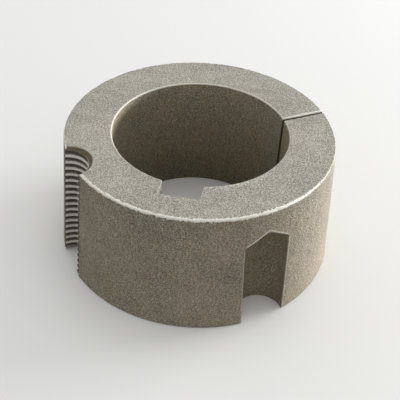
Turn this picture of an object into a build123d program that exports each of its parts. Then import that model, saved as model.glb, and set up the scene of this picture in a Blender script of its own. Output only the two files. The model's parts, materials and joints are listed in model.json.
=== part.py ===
"""Taper bush: a split, tapered cast-iron sleeve that clamps a keyed shaft in a hub.

The bush is one casting, turned, broached, drilled, tapped and slit. It stands on its large
end: the origin is the centre of the large-end face, +Z runs along the bore to the small end,
and the keyway is on the -Y side. Lengths are millimetres. Angles are degrees, anticlockwise
from +X when the bush is seen from its small end.
"""

import os
from math import radians, sqrt, tan

from build123d import *

INCH = 25.4

# Turned body
large_end_diameter = 2.75 * INCH
bush_length = 1.25 * INCH
included_taper = 8.0
bore_diameter = 1.6875 * INCH
rim_edge_break = 0.35
bore_edge_break = 0.25

# Keyway, with its mouth edge on the +X side rounded
keyway_width = 0.375 * INCH
keyway_side_depth = 0.1875 * INCH
keyway_root_radius = 0.3
keyway_mouth_radius = 0.8

# Slit that lets the bush close on the shaft; its middle plane passes beside the bore's axis
slit_width = 1.1
slit_angle = 32.9
slit_offset = 2.2

# The three half-holes are drilled on one pitch circle
half_hole_circle = 2.625 * INCH

# Two plain, blind half-holes for the clamping screws, opposite each other
clamp_angle = -51.6
clamp_radius = 5.7
clamp_depth = 22.4
drill_point_angle = 118.0
clamp_lip_radius = 1.0

# One threaded half-hole, right through, for the jacking screw: 7/16 inch, 14 to the inch
jack_angle = -143.9
thread_pitch = INCH / 14
thread_major_radius = 7 / 32 * INCH
thread_flank_angle = 55.0
thread_start = -1.56
tapping_drill_radius = 4.65
countersink_radius = 5.75

# Sizes that follow from those above
large_end_radius = large_end_diameter / 2
small_end_radius = large_end_radius - bush_length * tan(radians(included_taper / 2))
bore_radius = bore_diameter / 2
wall = large_end_radius - bore_radius
keyway_mouth_depth = sqrt(bore_radius**2 - (keyway_width / 2) ** 2)
keyway_root_depth = keyway_mouth_depth + keyway_side_depth
half_hole_radius = half_hole_circle / 2
drill_point_height = clamp_radius / tan(radians(drill_point_angle / 2))
countersink_depth = countersink_radius - tapping_drill_radius

# Thread groove: a V that stops at a flat root, a sixth of its sharp height short
thread_depth = thread_major_radius - tapping_drill_radius
thread_turns = int((bush_length - thread_start) / thread_pitch) + 1
groove_overlap = 0.2
groove_root = thread_pitch / 12
groove_mouth = groove_root + (thread_depth + groove_overlap) * tan(radians(thread_flank_angle / 2))

standing = (Align.CENTER, Align.CENTER, Align.MIN)
hanging = (Align.CENTER, Align.CENTER, Align.MAX)

# One turn of the jacking thread's groove, about its own axis. It starts and ends on +X,
# which is the side that lies outside the bush.
with BuildPart() as thread_turn:
    with BuildLine() as helix:
        Helix(thread_pitch, thread_pitch, tapping_drill_radius)
    with BuildSketch(Plane(helix.line @ 0, x_dir=(1, 0, 0), z_dir=helix.line % 0)):
        with BuildLine():
            Polyline(
                (-groove_overlap, -groove_mouth),
                (thread_depth, -groove_root),
                (thread_depth, groove_root),
                (-groove_overlap, groove_mouth),
                close=True,
            )
        make_face()
    sweep(path=helix.line, is_frenet=True)

with BuildPart() as taper_bush:
    # Turned ring: straight bore, outer wall tapering towards the small end
    with BuildSketch(Plane.XZ):
        with BuildLine():
            Polyline(
                (bore_radius, 0),
                (large_end_radius, 0),
                (small_end_radius, bush_length),
                (bore_radius, bush_length),
                close=True,
            )
        make_face()
    revolve(axis=Axis.Z)
    bore_rims, *outer_rims = taper_bush.edges().filter_by(GeomType.CIRCLE).group_by(SortBy.RADIUS)
    chamfer(bore_rims, bore_edge_break)
    chamfer([rim for rims in outer_rims for rim in rims], rim_edge_break)

    # Clamping half-holes, drilled from the large end; each keeps the cone of the drill's point
    with PolarLocations(half_hole_radius, 2, start_angle=clamp_angle):
        Cylinder(clamp_radius, clamp_depth, align=standing, mode=Mode.SUBTRACT)
        with Locations((0, 0, clamp_depth)):
            Cone(clamp_radius, 0, drill_point_height, align=standing, mode=Mode.SUBTRACT)

    # The lip over each blind end is rounded where the cone breaks through the outer wall
    lips = taper_bush.edges().filter_by(GeomType.BSPLINE)
    fillet(lips.filter_by_position(Axis.Z, clamp_depth, bush_length), clamp_lip_radius)

    # Jacking half-hole: drilled through, countersunk at both ends and tapped
    with PolarLocations(half_hole_radius, 1, start_angle=jack_angle):
        Cylinder(tapping_drill_radius, bush_length, align=standing, mode=Mode.SUBTRACT)
        Cone(
            countersink_radius,
            tapping_drill_radius,
            countersink_depth,
            align=standing,
            mode=Mode.SUBTRACT,
        )
        with Locations((0, 0, bush_length)):
            Cone(
                tapping_drill_radius,
                countersink_radius,
                countersink_depth,
                align=hanging,
                mode=Mode.SUBTRACT,
            )
        turn_heights = [thread_start + turn * thread_pitch for turn in range(thread_turns)]
        with Locations([(0, 0, height) for height in turn_heights]):
            add(thread_turn.part, mode=Mode.SUBTRACT)

    # Keyway, broached along the whole bore
    with BuildSketch():
        with Locations((0, -keyway_root_depth / 2)):
            slot = Rectangle(keyway_width, keyway_root_depth)
        fillet(slot.vertices().group_by(Axis.Y)[0], keyway_root_radius)
    extrude(amount=bush_length, mode=Mode.SUBTRACT)
    mouths = taper_bush.edges().filter_by(Axis.Z).group_by(Axis.Y)
    mouth = [edges for edges in mouths if abs(edges[0].center().Y + keyway_mouth_depth) < 0.01]
    fillet(mouth[0].sort_by(Axis.X)[-1], keyway_mouth_radius)

    # Slit, sawn through the wall from end to end
    with BuildSketch(Plane.XY.rotated((0, 0, slit_angle))):
        with Locations((bore_radius + wall / 2, -slit_offset)):
            Rectangle(2 * wall, slit_width)
    extrude(amount=bush_length, mode=Mode.SUBTRACT)

taper_bush.part.label = "taper_bush"

os.makedirs("parts", exist_ok=True)
export_step(taper_bush.part, "parts/taper_bush.step")
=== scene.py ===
"""Taper bush: a split, tapered cast-iron sleeve, modelled in the frame of its CAD solid.

The bush is one casting, so it is one piece. It is turned, tapped, drilled, broached and slit with
cutters of the solid's own sizes. Its rims are then rounded, worn bright and nicked, its sharp edges
are broken, and its skin gets the grain of blasted iron. Highlights on the drill lips, the slit's
wall and the face by the bore, and shade inside the slit, are painted into its colour. Objects are
in metres, and +Z runs along the bore to the small end. Sizes in the classes are millimetres and
degrees.
"""

from __future__ import annotations

import json
import logging
import math
from dataclasses import dataclass, field
from enum import Enum
from typing import Any, Callable, Union

import bmesh
import bpy
from mathutils import Matrix, Quaternion, Vector, noise


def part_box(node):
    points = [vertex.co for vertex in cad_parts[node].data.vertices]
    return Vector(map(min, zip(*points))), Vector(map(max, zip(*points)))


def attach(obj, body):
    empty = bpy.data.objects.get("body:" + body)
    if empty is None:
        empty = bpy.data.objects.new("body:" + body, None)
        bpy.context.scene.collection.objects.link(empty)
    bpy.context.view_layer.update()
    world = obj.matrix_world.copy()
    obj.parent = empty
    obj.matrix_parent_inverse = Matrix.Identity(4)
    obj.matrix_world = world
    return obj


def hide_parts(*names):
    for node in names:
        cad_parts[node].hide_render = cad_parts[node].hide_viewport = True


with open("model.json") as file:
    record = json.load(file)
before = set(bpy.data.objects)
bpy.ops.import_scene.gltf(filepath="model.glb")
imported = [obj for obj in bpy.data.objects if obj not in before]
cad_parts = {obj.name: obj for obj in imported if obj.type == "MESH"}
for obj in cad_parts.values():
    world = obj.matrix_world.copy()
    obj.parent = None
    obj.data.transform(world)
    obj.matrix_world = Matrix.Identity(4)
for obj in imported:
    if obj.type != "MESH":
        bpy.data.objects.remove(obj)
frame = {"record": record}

MM = 0.001
LOG = logging.getLogger("taper_bush")

Colour = tuple[float, float, float]
Band = tuple[float, float]
Operand = Union["Expr", float, int]


def linear(red: int, green: int, blue: int) -> Colour:
    """Turns a display colour into the linear one that shaders use.

    Args:
        red: Red, from 0 to 255.
        green: Green, from 0 to 255.
        blue: Blue, from 0 to 255.

    Returns:
        The linear colour.
    """

    def channel(value: int) -> float:
        """Returns one linear channel."""
        share = value / 255
        return share / 12.92 if share <= 0.04045 else ((share + 0.055) / 1.055) ** 2.4

    return channel(red), channel(green), channel(blue)


class Expr:
    """A number that varies over a surface: an output socket with Python's operators."""

    def __init__(self, graph: Graph, socket: bpy.types.NodeSocket) -> None:
        """Wraps a socket of a graph."""
        self.graph = graph
        self.socket = socket

    def _math(self, operation: str, *values: Operand) -> Expr:
        """Returns the result of a Math node on the given values."""
        inputs = dict(enumerate(values))
        return self.graph.node("ShaderNodeMath", {"operation": operation}, inputs)

    def __add__(self, other: Operand) -> Expr:
        """Returns self + other."""
        return self._math("ADD", self, other)

    __radd__ = __add__

    def __sub__(self, other: Operand) -> Expr:
        """Returns self - other."""
        return self._math("SUBTRACT", self, other)

    def __rsub__(self, other: Operand) -> Expr:
        """Returns other - self."""
        return self._math("SUBTRACT", other, self)

    def __mul__(self, other: Operand) -> Expr:
        """Returns self * other."""
        return self._math("MULTIPLY", self, other)

    __rmul__ = __mul__

    def __abs__(self) -> Expr:
        """Returns the size of self."""
        return self._math("ABSOLUTE", self)

    def __neg__(self) -> Expr:
        """Returns self with its sign turned."""
        return self._math("MULTIPLY", self, -1.0)

    def hypot(self, other: Operand) -> Expr:
        """Returns the length of the vector (self, other)."""
        return self._math("SQRT", self * self + other * other)

    def ramp(self, start: float, end: float) -> Expr:
        """Rises smoothly from 0 at start to 1 at end, or falls where end is below start.

        Args:
            start: Value of self at which the result is 0.
            end: Value of self at which the result is 1.

        Returns:
            The smooth step.
        """
        low, high = min(start, end), max(start, end)
        step = self.graph.node(
            "ShaderNodeMapRange",
            {"interpolation_type": "SMOOTHSTEP"},
            {"Value": self, "From Min": low, "From Max": high, "To Min": 0.0, "To Max": 1.0},
        )
        return step if start < end else 1 - step


class Graph:
    """The node tree of one material or of the world."""

    def __init__(self, owner: bpy.types.Material | bpy.types.World) -> None:
        """Empties the tree of a material or a world."""
        owner.use_nodes = True
        self.owner = owner
        self.tree = owner.node_tree
        self.tree.nodes.clear()

    @classmethod
    def of_material(cls, name: str) -> Graph:
        """Returns the empty graph of a new material."""
        return cls(bpy.data.materials.new(name))

    def node(
        self,
        kind: str,
        settings: dict[str, Any] | None = None,
        inputs: dict[str | int, Any] | None = None,
        output: str | int = 0,
    ) -> Expr:
        """Adds a node.

        Args:
            kind: The node's type.
            settings: The node's properties, set first.
            inputs: Values or links of its sockets, by name or number.
            output: Name or number of the socket that is returned.

        Returns:
            The output socket.
        """
        made = self.tree.nodes.new(kind)
        for name, value in (settings or {}).items():
            setattr(made, name, value)
        for key, value in (inputs or {}).items():
            if isinstance(value, Expr):
                self.tree.links.new(value.socket, made.inputs[key])
            else:
                made.inputs[key].default_value = value
        return Expr(self, made.outputs[output])

    def mix(self, factor: Operand, first: Any, second: Any) -> Expr:
        """Blends two colours.

        Args:
            factor: Share of the second colour.
            first: A colour or an expression.
            second: A colour or an expression.

        Returns:
            The blended colour.
        """

        def rgba(value: Any) -> Any:
            """Gives a plain colour its alpha."""
            return value if isinstance(value, Expr) else (*value, 1.0)

        settings = {"data_type": "RGBA", "blend_type": "MIX"}
        return self.node("ShaderNodeMix", settings, {0: factor, 6: rgba(first), 7: rgba(second)}, 2)

    def shade(self, colour: Expr, factor: Expr) -> Expr:
        """Returns a colour made lighter or darker by a factor."""
        return self.node(
            "ShaderNodeVectorMath", {"operation": "SCALE"}, {"Vector": colour, "Scale": factor}
        )

    def noise(self, place: Expr, per_mm: float, detail: float = 2.0, rough: float = 0.55) -> Expr:
        """Returns soft noise about 0.5.

        Args:
            place: Coordinates in millimetres.
            per_mm: Number of lumps to a millimetre.
            detail: Number of finer layers.
            rough: Strength of the finer layers.

        Returns:
            The noise.
        """
        inputs = {"Vector": place, "Scale": per_mm, "Detail": detail, "Roughness": rough}
        return self.node("ShaderNodeTexNoise", {}, inputs)

    def place_mm(self, density: Colour = (1.0, 1.0, 1.0)) -> Expr:
        """Gives the object coordinates in millimetres.

        Args:
            density: How closely a pattern is packed along each axis.

        Returns:
            The coordinates.
        """
        coordinates = self.node("ShaderNodeTexCoord", output="Object")
        scale = tuple(axis / MM for axis in density)
        return self.node("ShaderNodeMapping", {}, {"Vector": coordinates, "Scale": scale})

    def axes(self, vector: Expr) -> tuple[Expr, Expr, Expr]:
        """Takes a vector apart.

        Args:
            vector: The vector.

        Returns:
            Its parts along X, Y and Z.
        """
        split = self.node("ShaderNodeSeparateXYZ", {}, {0: vector}).socket.node
        x, y, z = (Expr(self, socket) for socket in split.outputs)
        return x, y, z

    def principled(self, colour: Expr, roughness: Any, fixed: dict[str, Any]) -> Expr:
        """Adds a Principled BSDF.

        Args:
            colour: Base colour.
            roughness: Roughness, plain or varying.
            fixed: Values or links of its other sockets.

        Returns:
            The shader.
        """
        inputs = {"Base Color": colour, "Roughness": roughness, **fixed}
        return self.node("ShaderNodeBsdfPrincipled", {}, inputs)

    def finish(self, shader: Expr, output: str = "ShaderNodeOutputMaterial") -> None:
        """Links a shader to the output."""
        end = self.tree.nodes.new(output)
        self.tree.links.new(shader.socket, end.inputs["Surface"])


@dataclass(frozen=True)
class BushSizes:
    """Sizes of the bush, as its solid has them. Angles are measured from +X."""

    large_radius: float
    length: float
    bore_radius: float
    taper: float = 4.0
    clamp_angle: float = -51.6
    clamp_radius: float = 5.7
    clamp_depth: float = 22.4
    drill_point: float = 59.0
    jack_angle: float = -143.9
    jack_drill_radius: float = 4.65
    jack_major_radius: float = 5.56
    half_hole_radius: float = 33.3375
    keyway_half_width: float = 4.7625
    slit_angle: float = 32.9
    slit_offset: float = 2.2
    slit_width: float = 1.1

    @property
    def small_radius(self) -> float:
        """Radius of the small end."""
        return self.wall_radius(self.length)

    @property
    def slit_edge(self) -> float:
        """Offset of the slit's burred side from the plane through the bore's axis."""
        return self.slit_width / 2 - self.slit_offset

    def wall_radius(self, height: Any) -> Any:
        """Returns the outer wall's radius at a height, a number or an expression."""
        return self.large_radius - height * math.tan(math.radians(self.taper))

    def cone_radius(self, above: Any) -> Any:
        """Returns the radius of a drill point's cone at a height above its foot."""
        return self.clamp_radius - above * math.tan(math.radians(self.drill_point))

    @classmethod
    def from_frame(cls, record: dict[str, Any]) -> BushSizes:
        """Reads the outer sizes from the solid's box and the bore from its record.

        Args:
            record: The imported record.

        Returns:
            The sizes.
        """
        rim_loss = 0.0244  # what the large end's broken rim takes off the box's half-width
        low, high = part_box("taper_bush")
        bore = next(mount for mount in record["mounts"] if mount["name"] == "bore")
        return cls(
            large_radius=(high[0] - low[0]) / 2 / MM + rim_loss,
            length=(high[2] - low[2]) / MM,
            bore_radius=bore["dims"]["r_mm"],
        )


@dataclass(frozen=True)
class Spot:
    """A point of the bush's skin: its place in millimetres and the noises that mark it."""

    sizes: BushSizes
    x: Expr
    y: Expr
    z: Expr
    grain: Expr
    coarse: Expr
    ragged: Expr

    @property
    def radius(self) -> Expr:
        """Distance from the bore's axis."""
        return self.x.hypot(self.y)

    @property
    def below_top(self) -> Expr:
        """Depth below the small end."""
        return self.sizes.length - self.z

    @property
    def below_wall(self) -> Expr:
        """Depth below the outer wall."""
        return self.sizes.wall_radius(self.z) - self.radius

    def turned(self, angle: float) -> tuple[Expr, Expr]:
        """Measures the point against a direction from the bore's axis.

        Args:
            angle: The direction, in degrees from +X.

        Returns:
            Its places along and across the direction.
        """
        cos, sin = math.cos(math.radians(angle)), math.sin(math.radians(angle))
        return cos * self.x + sin * self.y, cos * self.y - sin * self.x


@dataclass(frozen=True)
class CastIron:
    """Blasted and phosphated grey iron, worn bright where its edges are touched, with painted
    highlights and painted shade.
    """

    face: Colour = linear(160, 156, 145)
    wall: Colour = linear(149, 139, 120)
    wall_cool: Colour = linear(145, 137, 121)
    keyway: Colour = linear(152, 147, 134)
    bore: Colour = linear(136, 128, 110)
    bore_warm: Colour = linear(140, 128, 104)
    hollow: Colour = linear(132, 122, 99)
    # bright metal of worn edges, also used for the painted highlights on the drill lips, the slit's
    # wall and the face by the bore
    rubbed_and_highlight: Colour = linear(238, 234, 224)
    # dark colour of the thread's roots, also used for the painted shade inside the slit
    dark_root_and_painted_shade: Colour = linear(78, 65, 50)
    grain_per_mm: float = 3.0
    fine_per_mm: float = 5.7
    lumps_per_mm: float = 0.4
    clouds_per_mm: float = 0.08
    ragged_per_mm: float = 1.1
    streak_density: Colour = (0.1, 0.55, 0.3)
    grain_depth: float = 0.3
    roughness: float = 0.62
    specular: float = 0.35
    rim_wear: float = 0.34
    face_tilt: Band = (0.72, 0.9)
    wall_skin: Band = (0.5, 0.2)
    bore_skin: Band = (0.4, 0.15)
    behind_saw: Band = (5.0, 8.0)

    def material(self, sizes: BushSizes) -> bpy.types.Material:
        """Builds the finish.

        Args:
            sizes: Sizes that say where each zone lies.

        Returns:
            The material.
        """
        graph = Graph.of_material("blasted_cast_iron")
        place = graph.place_mm()
        grain = graph.noise(place, self.grain_per_mm, 3.0, 0.7)
        fine = graph.noise(place, self.fine_per_mm, 1.0)
        lumps = graph.noise(place, self.lumps_per_mm)
        clouds = graph.noise(place, self.clouds_per_mm)
        ragged = graph.noise(place, self.ragged_per_mm, 3.0, 0.75)
        coarse = grain.ramp(0.35, 0.65)
        spot = Spot(sizes, *graph.axes(place), grain, coarse, ragged)
        _, _, upright = graph.axes(graph.node("ShaderNodeTexCoord", output="Normal"))
        on_face = upright.ramp(*self.face_tilt)

        colour = self._zones(graph, spot, on_face, clouds)
        streaks = graph.noise(graph.place_mm(self.streak_density), 1.0)
        light = 0.36 + 0.82 * coarse + 0.4 * fine.ramp(0.32, 0.68)
        light = light + 0.3 * (lumps - 0.5) + 0.4 * (clouds - 0.5)
        colour = graph.shade(colour, light + on_face * 0.34 * (streaks - 0.5))
        speck = fine.ramp(0.58, 0.66) * grain.ramp(0.48, 0.58)
        colour = graph.mix(speck * 0.5, colour, self.rubbed_and_highlight)

        # bright crests and dark roots of the jacking thread
        crest, root = self._thread_crests_and_roots(spot)
        # worn rims and hole edges, the saw's burr, and painted highlights on the drill lips, the
        # slit's wall and the face by the bore
        wear_and_highlights = self._rim_wear_and_face_highlight(spot) + self._hole_wear_and_lip_highlight(spot) + self._slit_burr_and_highlight(spot)
        # dark thread roots, and painted shade on the slit's lower walls
        colour = graph.mix(root + self._slit_painted_shade(spot), colour, self.dark_root_and_painted_shade)
        colour = graph.mix(crest, colour, self.rubbed_and_highlight)
        colour = graph.mix(wear_and_highlights, colour, self.rubbed_and_highlight)

        height = 0.6 * grain + 0.25 * fine + 0.35 * lumps
        depth = self.grain_depth * MM
        bump = graph.node("ShaderNodeBump", {}, {"Strength": 1.0, "Distance": depth, "Height": height})
        roughness = self.roughness + 0.2 * (coarse - 0.5) - 0.2 * wear_and_highlights
        fixed = {"Metallic": 0.0, "Specular IOR Level": self.specular, "Normal": bump}
        graph.finish(graph.principled(colour, roughness, fixed))
        return graph.owner

    def _zones(self, graph: Graph, spot: Spot, on_face: Expr, clouds: Expr) -> Expr:
        """Colours the half-holes, bore, keyway, outer wall and end faces.

        Args:
            graph: The material's graph.
            spot: The point of the skin.
            on_face: Share of the small end's face.
            clouds: Slow noise that shifts the tone of the bore and the wall.

        Returns:
            The colour before its grain.
        """
        half_width, bore_radius = spot.sizes.keyway_half_width, spot.sizes.bore_radius
        in_bore = (spot.radius - bore_radius).ramp(*self.bore_skin) * (1 - on_face)
        in_keyway = abs(spot.x).ramp(half_width + 0.5, half_width + 0.3)
        in_keyway = in_keyway * (-spot.y).ramp(bore_radius - 1.2, bore_radius - 0.6)
        on_wall = spot.below_wall.ramp(*self.wall_skin) * (1 - on_face)
        bore = graph.mix(clouds.ramp(0.4, 0.62), self.bore, self.bore_warm)
        wall = graph.mix(clouds.ramp(0.38, 0.6), self.wall_cool, self.wall)
        colour = graph.mix(in_bore, self.hollow, bore)
        colour = graph.mix(in_keyway, colour, self.keyway)
        colour = graph.mix(on_wall, colour, wall)
        return graph.mix(on_face, colour, self.face)

    def _rim_wear_and_face_highlight(self, spot: Spot) -> Expr:
        """Finds the small end's worn rims, most of all over the keyway's side, and paints a highlight
        by the bore.

        Args:
            spot: The point of the skin.

        Returns:
            The share of worn metal and of painted highlight.
        """
        x, y, ragged, below_top = spot.x, spot.y, spot.ragged, spot.below_top
        front = (-0.02 * x - y).ramp(3.0, 24.0)
        outer = (spot.sizes.small_radius - 0.1 - spot.radius).hypot(below_top - 0.1)
        reach = self.rim_wear * (0.15 + 0.85 * front) * (4.2 * ragged - 1.0)
        outer_wear = (reach - outer + 0.16 * spot.coarse).ramp(-0.05, 0.09)
        outer_wear = outer_wear * (0.2 + 0.72 * front)
        from_bore = spot.radius - spot.sizes.bore_radius
        inner = (from_bore - 0.12).hypot(below_top - 0.12)
        back = (0.5 * x - y).ramp(12.0, -8.0)
        inner_wear = (0.2 * (0.5 + ragged) - inner).ramp(-0.12, 0.06) * (0.15 + 0.45 * back)
        # painted highlight: a lighter band on the small end's face along the bore's rim, to the front
        # and right
        swept = (x - 0.35 * y).ramp(9.0, 17.0) * (-0.2 * x - y).ramp(2.0, 12.0)
        band = from_bore.ramp(1.9, 0.4) * below_top.ramp(0.3, 0.1) * (0.1 + 0.5 * ragged)
        return outer_wear + inner_wear + band * swept * spot.coarse

    def _hole_wear_and_lip_highlight(self, spot: Spot) -> Expr:
        """Finds the worn line round the clamping half-holes on the outer wall, and paints a highlight
        on their lips.

        Args:
            spot: The point of the skin.

        Returns:
            The share of worn metal and of painted highlight.
        """
        sizes, ragged = spot.sizes, spot.ragged
        outwards, sideways = spot.turned(sizes.clamp_angle)
        reach = (abs(outwards) - sizes.half_hole_radius).hypot(sideways)
        above = spot.z - sizes.clamp_depth
        from_edge = reach - sizes.cone_radius(above.ramp(-0.01, 0.01) * above)
        over = above.ramp(-0.2, 0.3)
        near = (0.18 * (0.4 + ragged) - abs(from_edge - 0.05)).ramp(-0.08, 0.08)
        line = near * (0.1 + 0.35 * ragged) * (1 - over)
        # painted highlight: a bright line on the rounded lip where the drill's cone breaks through the
        # wall
        from_cone = from_edge * math.cos(math.radians(sizes.drill_point))
        lip = (0.24 - abs(from_cone - 0.6)).ramp(-0.16, 0.12) * over * (0.1 + 0.9 * ragged)
        lip = lip * reach.ramp(sizes.clamp_radius + 0.15, sizes.clamp_radius - 0.6)
        below_wall = spot.below_wall
        return below_wall.ramp(0.6, 0.2) * line + below_wall.ramp(1.3, 0.9) * lip

    def _slit_burr_and_highlight(self, spot: Spot) -> Expr:
        """Finds the burr that the saw left along one edge of the slit, and paints a highlight on the
        wall's top.

        Args:
            spot: The point of the skin.

        Returns:
            The share of bright metal: the burr, and a painted highlight.
        """
        along, across = spot.turned(spot.sizes.slit_angle)
        from_edge = abs(across - spot.sizes.slit_edge - 0.08)
        near = (0.3 * (0.3 + 1.2 * spot.ragged) - from_edge).ramp(-0.08, 0.08)
        # the burr, and a painted highlight on the top 0.3 to 0.6 mm of the slit's wall under it
        return near * along.ramp(*self.behind_saw) * spot.below_top.ramp(0.6, 0.3)

    def _slit_painted_shade(self, spot: Spot) -> Expr:
        """Finds the slit's walls below its top, which get painted shade.

        Args:
            spot: The point of the skin.

        Returns:
            The share of painted shade.
        """
        along, across = spot.turned(spot.sizes.slit_angle)
        half = spot.sizes.slit_width / 2
        within = abs(across + spot.sizes.slit_offset).ramp(half + 0.1, half + 0.04)
        # painted shade: the slit's walls darken from 0.3 to 0.5 mm below the top, where shade falls in
        # the narrow slit
        return within * along.ramp(*self.behind_saw) * spot.below_top.ramp(0.3, 0.5) * 0.9

    def _thread_crests_and_roots(self, spot: Spot) -> tuple[Expr, Expr]:
        """Finds the bright crests and dark roots of the jacking thread.

        Args:
            spot: The point of the skin.

        Returns:
            The share of the bright crest colour and the share of the dark root colour.
        """
        sizes = spot.sizes
        outwards, sideways = spot.turned(sizes.jack_angle)
        reach = (outwards - sizes.half_hole_radius).hypot(sideways)
        from_crest = reach - sizes.jack_drill_radius
        crest = from_crest.ramp(0.16, 0.03) * (0.85 + 0.6 * (spot.grain - 0.35))
        inside = (reach - sizes.jack_major_radius).ramp(0.1, 0.02)
        return crest, from_crest.ramp(0.12, 0.42) * inside * 0.8


class Way(Enum):
    """Which way a face points."""

    UP = 1
    DOWN = -1


class Bench:
    """Shapes one mesh in edit mode, picking its parts by their place."""

    def __init__(self, item: bpy.types.Object) -> None:
        """Takes an object onto the bench, selected alone and in edit mode."""
        self.item = item
        self.axis = item.location / MM
        bpy.ops.object.select_all(action="DESELECT")
        item.select_set(True)
        bpy.context.view_layer.objects.active = item
        bpy.ops.object.transform_apply(location=True, rotation=True, scale=True)
        bpy.ops.object.mode_set(mode="EDIT")
        bpy.ops.mesh.select_all(action="DESELECT")

    def __enter__(self) -> Bench:
        """Returns the bench."""
        return self

    def __exit__(self, *_: object) -> None:
        """Leaves edit mode."""
        bpy.ops.object.mode_set(mode="OBJECT")

    def _pick(self, kind: str, test: Callable[[Any], bool]) -> int:
        """Selects what passes a test and nothing else.

        Args:
            kind: Which parts of the mesh are tested: VERT, EDGE or FACE.
            test: Takes a part and says whether it is wanted.

        Returns:
            The number of parts.
        """
        bpy.ops.mesh.select_mode(type=kind)
        bpy.ops.mesh.select_all(action="DESELECT")
        mesh = bmesh.from_edit_mesh(self.item.data)
        parts = {"VERT": mesh.verts, "EDGE": mesh.edges, "FACE": mesh.faces}[kind]
        found = [part for part in parts if test(part)]
        for part in found:
            part.select_set(True)
        bmesh.update_edit_mesh(self.item.data)
        return len(found)

    def pick_points(self, test: Callable[[Vector], bool]) -> int:
        """Selects the vertices whose place in millimetres passes a test, and counts them."""
        return self._pick("VERT", lambda point: test(point.co / MM))

    def pick_edges(self, test: Callable[[Vector, Vector], bool], crease: float = 0.0) -> int:
        """Selects edges.

        Args:
            test: Takes both ends in millimetres and says whether the edge is wanted.
            crease: Smallest angle between its faces, in degrees.

        Returns:
            The number of edges.
        """

        def wanted(edge: bmesh.types.BMEdge) -> bool:
            """Tests an edge's ends and its crease."""
            ends = test(edge.verts[0].co / MM, edge.verts[1].co / MM)
            return ends and edge.calc_face_angle(0.0) >= math.radians(crease)

        return self._pick("EDGE", wanted)

    def pick_axial_faces(self, *ways: Way) -> int:
        """Selects the flat faces that are centred on the axis.

        Args:
            ways: Which way they may point.

        Returns:
            The number of faces.
        """

        def wanted(face: bmesh.types.BMFace) -> bool:
            """Tests a face's direction and its centre."""
            centred = (face.calc_center_median() - self.axis * MM).xy.length < MM
            return centred and any(face.normal.z * way.value > 0.99 for way in ways)

        return self._pick("FACE", wanted)

    def bevel(self, width: float, steps: int, clamp: bool = True) -> None:
        """Rounds the selected edges.

        Args:
            width: Width of the round in millimetres.
            steps: Number of facets across it.
            clamp: Whether it stops where rounds would overlap.
        """
        bpy.ops.mesh.bevel(
            offset=width * MM, segments=steps, affect="EDGES", clamp_overlap=clamp, profile=0.5
        )


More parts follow.
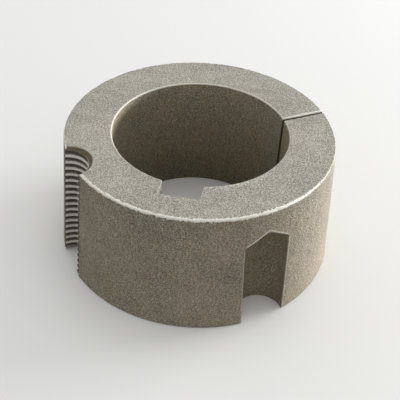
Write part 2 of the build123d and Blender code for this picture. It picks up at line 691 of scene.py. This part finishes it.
@dataclass
class Cutters:
    """The tools that cut the ring, each a closed solid that is used up by its cut."""

    sizes: BushSizes
    overshoot: float = 0.8
    drill_facets: int = 90
    countersink_facets: int = 96
    thread_pitch: float = 25.4 / 14
    thread_start: float = -1.56
    thread_flat: float = 25.4 / 14 / 12
    flank_angle: float = 27.5
    thread_steps: int = 72
    weld: float = 0.002
    countersink_radius: float = 5.75
    countersink_overlap: float = 0.4
    keyway_root_depth: float = 25.657
    keyway_root_radius: float = 0.3

    def clamp_drill(self, angle: float) -> bpy.types.Object:
        """Makes a drill with a cone at its tip.

        Args:
            angle: Where the hole stands round the bush.

        Returns:
            The cutter.
        """
        s = self.sizes
        shank = s.clamp_depth + self.overshoot
        turn = math.radians(angle)
        bpy.ops.mesh.primitive_cylinder_add(
            vertices=self.drill_facets,
            radius=s.clamp_radius * MM,
            depth=shank * MM,
            location=(
                s.half_hole_radius * math.cos(turn) * MM,
                s.half_hole_radius * math.sin(turn) * MM,
                (s.clamp_depth - shank / 2) * MM,
            ),
            rotation=(0, 0, turn),
        )
        drill = bpy.context.object
        tip = s.clamp_radius / math.tan(math.radians(s.drill_point))
        with Bench(drill) as bench:
            bench.pick_axial_faces(Way.UP)
            bpy.ops.mesh.extrude_region_move(TRANSFORM_OT_translate={"value": (0, 0, tip * MM)})
            bpy.ops.mesh.merge(type="CENTER")
        return drill

    def thread_tap(self) -> bpy.types.Object:
        """Makes a tap: one pitch of its outline, drawn point by point and wound up a helix.

        Returns:
            The cutter.
        """
        s = self.sizes
        flank = (s.jack_major_radius - s.jack_drill_radius) * math.tan(
            math.radians(self.flank_angle)
        )
        foot = self.thread_pitch / 2 - self.thread_flat - flank
        rise = s.jack_major_radius - s.jack_drill_radius
        strokes = [
            (0, 0, foot),
            (rise, 0, flank),
            (0, 0, 2 * self.thread_flat),
            (-rise, 0, flank),
            (0, 0, foot),
        ]
        bpy.ops.mesh.primitive_plane_add(size=MM, location=(0, 0, 0))
        tap = bpy.context.object
        low = self.thread_start - 1.5 * self.thread_pitch
        with Bench(tap) as bench:
            bench.pick_points(lambda place: True)
            bpy.ops.mesh.merge(type="CENTER")
            bench.pick_points(lambda place: True)
            start = (s.jack_drill_radius * MM, 0, low * MM)
            bpy.ops.transform.translate(value=start)
            for stroke in strokes:
                step = tuple(part * MM for part in stroke)
                bpy.ops.mesh.extrude_region_move(TRANSFORM_OT_translate={"value": step})
        winding = tap.modifiers.new("winding", "SCREW")
        winding.screw_offset = self.thread_pitch * MM
        winding.iterations = int((s.length - low) / self.thread_pitch) + 2
        winding.steps = self.thread_steps
        winding.render_steps = self.thread_steps
        winding.use_merge_vertices = True
        winding.merge_threshold = self.weld * MM
        bpy.ops.object.modifier_apply(modifier=winding.name)
        with Bench(tap) as bench:
            bpy.ops.mesh.select_all(action="SELECT")
            bpy.ops.mesh.remove_doubles(threshold=self.weld * MM)
            for height, way in ((-self.overshoot, Way.DOWN), (s.length + self.overshoot, Way.UP)):
                bpy.ops.mesh.select_all(action="SELECT")
                bpy.ops.mesh.bisect(
                    plane_co=(0, 0, height * MM),
                    plane_no=(0, 0, way.value),
                    use_fill=True,
                    clear_outer=True,
                )
            bpy.ops.mesh.select_all(action="SELECT")
            bpy.ops.mesh.normals_make_consistent(inside=False)
        self._stand(tap)
        return tap

    def countersink(self, way: Way) -> bpy.types.Object:
        """Makes a cone that opens the threaded hole's mouth.

        Args:
            way: UP for the small end's mouth, DOWN for the large end's.

        Returns:
            The cutter.
        """
        s = self.sizes
        depth = self.countersink_radius - s.jack_drill_radius
        mouth = s.length if way is Way.UP else 0.0
        wide = self.countersink_radius + self.overshoot
        narrow = s.jack_drill_radius - self.countersink_overlap
        radii = (narrow, wide) if way is Way.UP else (wide, narrow)
        inner = mouth - way.value * (depth + self.countersink_overlap)
        outer = mouth + way.value * self.overshoot
        bpy.ops.mesh.primitive_cone_add(
            vertices=self.countersink_facets,
            radius1=radii[0] * MM,
            radius2=radii[1] * MM,
            depth=abs(outer - inner) * MM,
            location=(0, 0, (outer + inner) / 2 * MM),
        )
        cone = bpy.context.object
        self._stand(cone)
        return cone

    def _stand(self, cutter: bpy.types.Object) -> None:
        """Moves a cutter from the origin to the threaded hole and turns it outwards.

        Args:
            cutter: The cutter, modelled about the Z axis.
        """
        turn = math.radians(self.sizes.jack_angle)
        reach = self.sizes.half_hole_radius * MM
        place = Matrix.Translation((reach * math.cos(turn), reach * math.sin(turn), 0))
        cutter.matrix_world = place @ Matrix.Rotation(turn, 4, "Z") @ cutter.matrix_world

    def keyway_broach(self) -> bpy.types.Object:
        """Makes a bar with the keyway's rounded roots.

        Returns:
            The cutter.
        """
        s = self.sizes
        tall = s.length + 2 * self.overshoot
        bpy.ops.mesh.primitive_cube_add(
            size=1,
            location=(0, -self.keyway_root_depth / 2 * MM, s.length / 2 * MM),
            scale=(2 * s.keyway_half_width * MM, self.keyway_root_depth * MM, tall * MM),
        )
        bar = bpy.context.object
        with Bench(bar) as bench:
            root_y = 0.1 - self.keyway_root_depth
            bench.pick_edges(lambda a, b: abs(a.z - b.z) > 1 and max(a.y, b.y) < root_y)
            bench.bevel(self.keyway_root_radius, 3)
        return bar

    def slitting_saw(self) -> bpy.types.Object:
        """Makes the blade that parts the ring.

        Returns:
            The cutter.
        """
        s = self.sizes
        wall = s.large_radius - s.bore_radius
        turn = math.radians(s.slit_angle)
        place = Matrix.Rotation(turn, 4, "Z") @ Vector(
            ((s.bore_radius + wall / 2) * MM, -s.slit_offset * MM, s.length / 2 * MM)
        )
        bpy.ops.mesh.primitive_cube_add(
            size=1,
            location=place,
            rotation=(0, 0, turn),
            scale=(2 * wall * MM, s.slit_width * MM, (s.length + 2 * self.overshoot) * MM),
        )
        return bpy.context.object


@dataclass
class TaperBush:
    """The bush: a ring turned, drilled, tapped, broached and slit, then nicked by use."""

    sizes: BushSizes
    finish: CastIron
    node: str = "taper_bush"
    slot: str = "cast_iron"
    segments: int = 720
    rim_round: float = 0.38
    bore_round: float = 0.25
    edge_round: float = 0.14
    key_mouth_round: float = 0.8
    lip_round: float = 0.7
    slit_round: float = 0.3
    nick_depth: float = 0.26
    nick_reach: float = 0.55
    flat_limit: float = 32.0
    piece: bpy.types.Object | None = field(default=None, init=False)

    def build(self) -> bpy.types.Object:
        """Models the bush and dresses it.

        Returns:
            The finished piece.
        """
        self.piece = self._ring()
        self._cut_all()
        self._break_edges()
        self._nick_rim()
        self._shade()
        self.piece.data.materials.clear()
        self.piece.data.materials.append(self.finish.material(self.sizes))
        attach(self.piece, "root")
        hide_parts(self.node)
        return self.piece

    def _ring(self) -> bpy.types.Object:
        """Turns the tapered ring with its straight bore and rounded rims.

        Returns:
            The ring.
        """
        s = self.sizes
        bpy.ops.object.select_all(action="DESELECT")
        bpy.ops.mesh.primitive_cylinder_add(
            vertices=self.segments,
            radius=s.large_radius * MM,
            depth=s.length * MM,
            location=(0, 0, s.length / 2 * MM),
        )
        ring = bpy.context.object
        ring.name = "bush_casting"
        with Bench(ring) as bench:
            bench.pick_points(lambda place: place.z > s.length / 2)
            share = s.small_radius / s.large_radius
            bpy.ops.transform.resize(
                value=(share, share, 1), center_override=(0, 0, s.length * MM)
            )
            for way, radius in ((Way.UP, s.small_radius), (Way.DOWN, s.large_radius)):
                bench.pick_axial_faces(way)
                bpy.ops.mesh.inset(thickness=(radius - s.bore_radius) * MM)
            bench.pick_axial_faces(*Way)
            bpy.ops.mesh.bridge_edge_loops()
            bench.pick_edges(lambda a, b: self._on_rim(a, b) and a.xy.length > s.bore_radius + 1)
            bench.bevel(self.rim_round, 5)
            bench.pick_edges(lambda a, b: self._on_rim(a, b) and a.xy.length < s.bore_radius + 0.1)
            bench.bevel(self.bore_round, 3)
        return ring

    def _on_rim(self, a: Vector, b: Vector) -> bool:
        """Says whether an edge runs round one of the four turned rims.

        Args:
            a: One end in millimetres.
            b: The other end.

        Returns:
            Whether it does.
        """
        s = self.sizes
        level = abs(a.z - b.z) < 0.01 and (a.z < 0.01 or a.z > s.length - 0.01)
        even = abs(a.xy.length - b.xy.length) < 0.01
        outer = s.large_radius if a.z < 1 else s.small_radius
        at_rim = min(abs(a.xy.length - outer), abs(a.xy.length - s.bore_radius)) < 0.02
        return level and even and at_rim

    def _cut_all(self) -> None:
        """Cuts the holes, the keyway and the slit in the order of the real work."""
        s = self.sizes
        cutters = Cutters(s)
        makers: tuple[Callable[[], bpy.types.Object], ...] = (
            cutters.thread_tap,
            lambda: cutters.countersink(Way.UP),
            lambda: cutters.countersink(Way.DOWN),
            lambda: cutters.clamp_drill(s.clamp_angle),
            lambda: cutters.clamp_drill(s.clamp_angle + 180),
            cutters.keyway_broach,
            cutters.slitting_saw,
        )
        for make in makers:
            self._cut(make())

    def _cut(self, cutter: bpy.types.Object) -> None:
        """Takes a cutter's shape out of the ring and removes the cutter.

        Args:
            cutter: The cutter.
        """
        bpy.ops.object.select_all(action="DESELECT")
        bpy.context.view_layer.objects.active = self.piece
        self.piece.select_set(True)
        cut = self.piece.modifiers.new("cut", "BOOLEAN")
        cut.operation = "DIFFERENCE"
        cut.solver = "EXACT"
        cut.object = cutter
        bpy.ops.object.modifier_apply(modifier=cut.name)
        bpy.data.objects.remove(cutter, do_unlink=True)

    def _break_edges(self) -> None:
        """Rounds the keyway's mouth and breaks the sharp upright edges."""
        s = self.sizes
        mouth_y = -math.sqrt(s.bore_radius**2 - s.keyway_half_width**2)

        def upright(a: Vector, b: Vector) -> bool:
            """Says whether an edge stands upright."""
            return abs(a.z - b.z) > 1.0 and (a.xy - b.xy).length < 0.12 * abs(a.z - b.z)

        def at_mouth(a: Vector, b: Vector) -> bool:
            """Says whether an edge is the keyway's rounded mouth."""
            near = abs(a.x - s.keyway_half_width) < 0.1 and abs(a.y - mouth_y) < 0.1
            return upright(a, b) and near

        with Bench(self.piece) as bench:
            count = bench.pick_edges(at_mouth, 30)
            LOG.info("keyway mouth: %d edges", count)
            bench.bevel(self.key_mouth_round, 4)
            count = bench.pick_edges(upright, 38)
            LOG.info("upright edges: %d", count)
            bench.bevel(self.edge_round, 2)
            count = bench.pick_edges(self._on_lip, 15)
            LOG.info("lips: %d edges", count)
            bench.bevel(self.lip_round, 4, clamp=False)
            count = bench.pick_edges(self._on_slit_edge, 50)
            LOG.info("slit edges: %d", count)
            bench.bevel(self.slit_round, 3, clamp=False)

    def _on_lip(self, a: Vector, b: Vector) -> bool:
        """Says whether an edge is where a drill's cone breaks through the outer wall.

        Args:
            a: One end in millimetres.
            b: The other end.

        Returns:
            Whether it is.
        """
        s = self.sizes

        def on_cone(point: Vector) -> bool:
            """Says whether a point is on the wall and on a cone."""
            turn = math.radians(s.clamp_angle)
            centre = Vector((math.cos(turn), math.sin(turn))) * s.half_hole_radius
            reach = min((point.xy - centre).length, (point.xy + centre).length)
            near_cone = abs(reach - s.cone_radius(point.z - s.clamp_depth)) < 0.05
            near_wall = abs(point.xy.length - s.wall_radius(point.z)) < 0.05
            return point.z > s.clamp_depth + 0.01 and near_cone and near_wall

        return on_cone(a) and on_cone(b)

    def _on_slit_edge(self, a: Vector, b: Vector) -> bool:
        """Says whether an edge is the slit's burred edge on the small end.

        Args:
            a: One end in millimetres.
            b: The other end.

        Returns:
            Whether it is.
        """
        s = self.sizes
        turn = math.radians(s.slit_angle)

        def on_line(point: Vector) -> bool:
            """Says whether a point is on that edge's line."""
            across = math.cos(turn) * point.y - math.sin(turn) * point.x
            return abs(across - s.slit_edge) < 0.03 and point.z > s.length - 0.02 and point.x > 0

        return on_line(a) and on_line(b)

    def _nick_rim(self) -> None:
        """Dents the small end's outer rim, unevenly and mostly inwards."""
        s = self.sizes
        for point in self.piece.data.vertices:
            place = point.co / MM
            from_rim = math.hypot(place.xy.length - s.small_radius, place.z - s.length)
            if from_rim > self.nick_reach:
                continue
            rough = noise.noise(place * 0.9) + 0.35 * noise.noise(place * 1.9)
            depth = self.nick_depth * max(0.0, rough) * (1 - from_rim / self.nick_reach)
            inwards = Vector((-place.x, -place.y, 0)).normalized() + Vector((0, 0, -0.8))
            point.co += inwards * depth * MM

    def _shade(self) -> None:
        """Smooths the curved faces and keeps the flat ones flat."""
        bpy.ops.object.select_all(action="DESELECT")
        self.piece.select_set(True)
        bpy.context.view_layer.objects.active = self.piece
        bpy.ops.object.shade_smooth_by_angle(angle=math.radians(self.flat_limit))
        weighting = self.piece.modifiers.new("weighting", "WEIGHTED_NORMAL")
        weighting.keep_sharp = True
        bpy.ops.object.modifier_apply(modifier=weighting.name)


@dataclass
class Studio:
    """A pale floor that fades to white, soft lamps and an even sky. Places are in metres."""

    floor_colour: Colour = linear(226, 226, 224)
    floor_bounce: Colour = linear(120, 119, 116)
    sky: float = 0.78
    key_power: float = 12.5
    key_width: float = 0.4
    key_height: float = 0.1
    key_place: Colour = (0.6, 0.44, 0.066)
    top_power: float = 1.6
    top_size: float = 0.5
    top_place: Colour = (0.1, 0.2, 1.0)
    floor_size: float = 12.0
    fade_start: float = 180.0
    fade_end: float = 900.0

    def build(self) -> None:
        """Makes the floor, the lamps and the sky."""
        self._floor()
        self._lamp("key_lamp", self.key_place, (self.key_width, self.key_height), self.key_power)
        self._lamp("top_lamp", self.top_place, (self.top_size, self.top_size), self.top_power)
        self._sky()

    def _floor(self) -> None:
        """Lays the floor under the bush."""
        bpy.ops.object.select_all(action="DESELECT")
        bpy.ops.mesh.primitive_plane_add(size=self.floor_size)
        floor = bpy.context.object
        floor.name = "floor"
        graph = Graph.of_material("pale_floor")
        seen = graph.node("ShaderNodeLightPath", output="Is Camera Ray")
        colour = graph.mix(seen, self.floor_bounce, self.floor_colour)
        matt = graph.principled(colour, 0.9, {"Specular IOR Level": 0.2})
        glow = graph.node("ShaderNodeEmission", {}, {"Strength": 1.0})
        x, y, _ = graph.axes(graph.place_mm())
        far = x.hypot(y).ramp(self.fade_start, self.fade_end) * seen
        graph.finish(graph.node("ShaderNodeMixShader", {}, {0: far, 1: matt, 2: glow}))
        floor.data.materials.append(graph.owner)

    def _lamp(
        self, name: str, place: Colour, size: tuple[float, float], power: float
    ) -> None:
        """Hangs a wide lamp that faces the bush.

        Args:
            name: The lamp's name.
            place: Where it hangs.
            size: Its width and height.
            power: Its power in watts.
        """
        data = bpy.data.lights.new(name, "AREA")
        data.shape = "RECTANGLE"
        data.size, data.size_y = size
        data.energy = power
        lamp = bpy.data.objects.new(name, data)
        lamp.location = place
        lamp.rotation_euler = (-Vector(place)).to_track_quat("-Z", "Y").to_euler()
        bpy.context.scene.collection.objects.link(lamp)

    def _sky(self) -> None:
        """Gives the room an even light and a white look."""
        world = bpy.data.worlds.new("studio_sky")
        bpy.context.scene.world = world
        graph = Graph(world)
        seen = graph.node("ShaderNodeLightPath", output="Is Camera Ray")
        white = (1.0, 1.0, 1.0, 1.0)
        even = graph.node("ShaderNodeBackground", {}, {"Color": white, "Strength": self.sky})
        bright = graph.node("ShaderNodeBackground", {}, {"Color": white, "Strength": 1.0})
        sky = graph.node("ShaderNodeMixShader", {}, {0: seen, 1: even, 2: bright})
        graph.finish(sky, "ShaderNodeOutputWorld")


@dataclass(frozen=True)
class Viewpoint:
    """Where the camera stands and how it is turned, in millimetres and degrees."""

    lens: float = 66.156
    sensor: float = 36.0
    distance: float = 187.938
    aim_height: float = 15.9
    heading: float = 9.097
    elevation: float = 38.76
    pan: float = -0.237
    tilt: float = -1.445
    roll: float = -3.182

    def build(self) -> bpy.types.Object:
        """Makes the camera and hands it to the scene.

        Returns:
            The camera.
        """
        rise = math.radians(self.elevation)
        forward = Vector((0, math.cos(rise), -math.sin(rise)))
        right = Vector((1, 0, 0))
        up = Vector((0, math.sin(rise), math.cos(rise)))
        place = Vector((0, 0, self.aim_height)) - forward * self.distance
        pan = Quaternion(up, math.radians(self.pan))
        forward, right = pan @ forward, pan @ right
        tilt = Quaternion(right, math.radians(self.tilt))
        forward, up = tilt @ forward, tilt @ up
        roll = Quaternion(forward, math.radians(self.roll))
        right, up = roll @ right, roll @ up
        heading = Quaternion((0, 0, 1), math.radians(self.heading))
        columns = [heading @ axis for axis in (right, up, -forward)]
        data = bpy.data.cameras.new("camera")
        data.lens = self.lens
        data.sensor_width = self.sensor
        data.sensor_fit = "HORIZONTAL"
        data.clip_start = 0.01
        data.clip_end = 20.0
        camera = bpy.data.objects.new("camera", data)
        camera.matrix_world = Matrix.Translation(heading @ place * MM) @ (
            Matrix(columns).transposed().to_4x4()
        )
        bpy.context.scene.collection.objects.link(camera)
        bpy.context.scene.camera = camera
        return camera


def main() -> None:
    """Builds the bush, the studio and the camera."""
    logging.basicConfig(level=logging.INFO, format="%(name)s: %(message)s")
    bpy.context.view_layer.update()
    sizes = BushSizes.from_frame(frame["record"])
    LOG.info("large radius %.3f mm, length %.3f mm", sizes.large_radius, sizes.length)
    piece = TaperBush(sizes, CastIron()).build()
    LOG.info("%s: %d faces", piece.name, len(piece.data.polygons))
    Studio().build()
    Viewpoint().build()
    scene = bpy.context.scene
    scene.view_settings.view_transform = "Standard"


if __name__ == "__main__":
    main()
